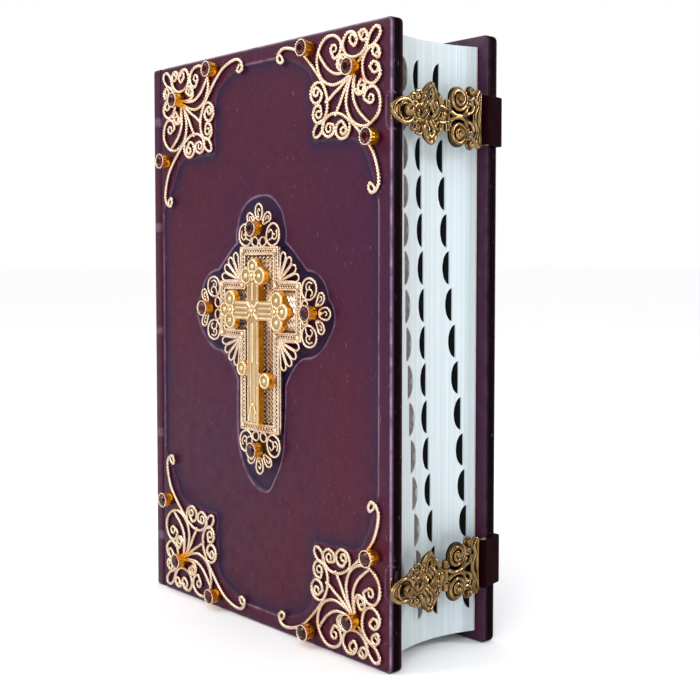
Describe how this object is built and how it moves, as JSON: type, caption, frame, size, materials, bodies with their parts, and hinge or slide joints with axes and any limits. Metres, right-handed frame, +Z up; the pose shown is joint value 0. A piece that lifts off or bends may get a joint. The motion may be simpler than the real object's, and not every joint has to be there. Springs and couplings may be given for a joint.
{
  "type": "prayer book",
  "caption": "Leather-bound prayer book with raised-band spine, thumb-indexed pages, garnet-set filigree corners and cross, and cast clasps on leather straps.",
  "frame": {"origin": "on the surface that the book stands on, under the middle of its overall box", "axes": "+X from the spine towards the fore-edge, +Y from the front cover towards the back cover, +Z up along the spine from tail to head"},
  "size_m": [0.178, 0.0694, 0.25],
  "materials": {
    "burgundy_leather": "aubergine calfskin, antiqued darker at the edges and tooled lines",
    "strap_leather": "very dark burgundy strap leather, matt",
    "board_card": "grey-brown binder's board",
    "endpaper": "cream endpaper",
    "page_paper": "cool white page edges",
    "lining_linen": "unbleached linen",
    "headband_silk": "striped sewn silk",
    "filigree_gold": "pale rose-gold plated twisted wire",
    "bezel_gold": "bright yellow gold plate",
    "clasp_bronze": "antiqued cast bronze, dark in the recesses",
    "garnet": "faceted dark red garnet glass"
  },
  "bodies": {
    "book_block": {"page_block": "page_paper", "spine_leather": "burgundy_leather", "spine_lining": "lining_linen", "head_band": "headband_silk", "tail_band": "headband_silk"},
    "front_cover": {"front_cover_leather": "burgundy_leather", "front_cover_board": "board_card", "front_cover_pastedown": "endpaper", "upper_catch_pin": "clasp_bronze", "lower_catch_pin": "clasp_bronze", "lower_left_corner_filigree": "filigree_gold", "lower_right_corner_filigree": "filigree_gold", "upper_left_corner_filigree": "filigree_gold", "upper_right_corner_filigree": "filigree_gold", "cross_filigree": "filigree_gold", "raised_cross": "bezel_gold", "lower_left_corner_1_bezel": "bezel_gold", "lower_left_corner_1_garnet": "garnet", "lower_left_corner_2_bezel": "bezel_gold", "lower_left_corner_2_garnet": "garnet", "lower_left_corner_3_bezel": "bezel_gold", "lower_left_corner_3_garnet": "garnet", "lower_right_corner_1_bezel": "bezel_gold", "lower_right_corner_1_garnet": "garnet", "lower_right_corner_2_bezel": "bezel_gold", "lower_right_corner_2_garnet": "garnet", "lower_right_corner_3_bezel": "bezel_gold", "lower_right_corner_3_garnet": "garnet", "upper_left_corner_1_bezel": "bezel_gold", "upper_left_corner_1_garnet": "garnet", "upper_left_corner_2_bezel": "bezel_gold", "upper_left_corner_2_garnet": "garnet", "upper_left_corner_3_bezel": "bezel_gold", "upper_left_corner_3_garnet": "garnet", "upper_right_corner_1_bezel": "bezel_gold", "upper_right_corner_1_garnet": "garnet", "upper_right_corner_2_bezel": "bezel_gold", "upper_right_corner_2_garnet": "garnet", "upper_right_corner_3_bezel": "bezel_gold", "upper_right_corner_3_garnet": "garnet", "cross_top_bezel": "bezel_gold", "cross_top_garnet": "garnet", "cross_bottom_bezel": "bezel_gold", "cross_bottom_garnet": "garnet", "cross_left_bezel": "bezel_gold", "cross_left_garnet": "garnet", "cross_right_bezel": "bezel_gold", "cross_right_garnet": "garnet"},
    "back_cover": {"back_cover_leather": "burgundy_leather", "back_cover_board": "board_card", "back_cover_pastedown": "endpaper", "upper_clasp_strap": "strap_leather", "lower_clasp_strap": "strap_leather"},
    "front_leaf": {"front_flyleaf": "endpaper"},
    "back_leaf": {"back_flyleaf": "endpaper"},
    "upper_clasp": {"upper_clasp_volute_plate": "clasp_bronze"},
    "upper_hook": {"upper_clasp_hook_plate": "clasp_bronze"},
    "lower_clasp": {"lower_clasp_volute_plate": "clasp_bronze"},
    "lower_hook": {"lower_clasp_hook_plate": "clasp_bronze"}
  },
  "joints": [
    {"name": "front_cover_hinge", "type": "hinge", "parent": "book_block", "child": "front_cover", "pos_m": [-0.07555, -0.02725, 0.125], "axis": [0, 0, -1], "range_deg": [0, 120]},
    {"name": "back_cover_hinge", "type": "hinge", "parent": "book_block", "child": "back_cover", "pos_m": [-0.07555, 0.03315, 0.125], "axis": [0, 0, 1], "range_deg": [0, 120]},
    {"name": "front_flyleaf_turn", "type": "hinge", "parent": "book_block", "child": "front_leaf", "pos_m": [-0.07315, -0.0204, 0.125], "axis": [0, 0, -1], "range_deg": [0, 60]},
    {"name": "back_flyleaf_turn", "type": "hinge", "parent": "book_block", "child": "back_leaf", "pos_m": [-0.07315, 0.0263, 0.125], "axis": [0, 0, 1], "range_deg": [0, 60]},
    {"name": "upper_clasp_swing", "type": "hinge", "parent": "back_cover", "child": "upper_clasp", "pos_m": [0.08615, 0.02335, 0.215], "axis": [0, 0, 1], "range_deg": [0, 110]},
    {"name": "upper_hook_fold", "type": "hinge", "parent": "upper_clasp", "child": "upper_hook", "pos_m": [0.08585, 0.00095, 0.215], "axis": [0, 0, 1], "range_deg": [0, 90]},
    {"name": "lower_clasp_swing", "type": "hinge", "parent": "back_cover", "child": "lower_clasp", "pos_m": [0.08615, 0.02335, 0.035], "axis": [0, 0, 1], "range_deg": [0, 110]},
    {"name": "lower_hook_fold", "type": "hinge", "parent": "lower_clasp", "child": "lower_hook", "pos_m": [0.08585, 0.00095, 0.035], "axis": [0, 0, 1], "range_deg": [0, 90]}
  ],
  "couplings": [
    {"joint": "front_flyleaf_turn", "follows": "front_cover_hinge", "ratio": 0.5},
    {"joint": "back_flyleaf_turn", "follows": "back_cover_hinge", "ratio": 0.5}
  ]
}
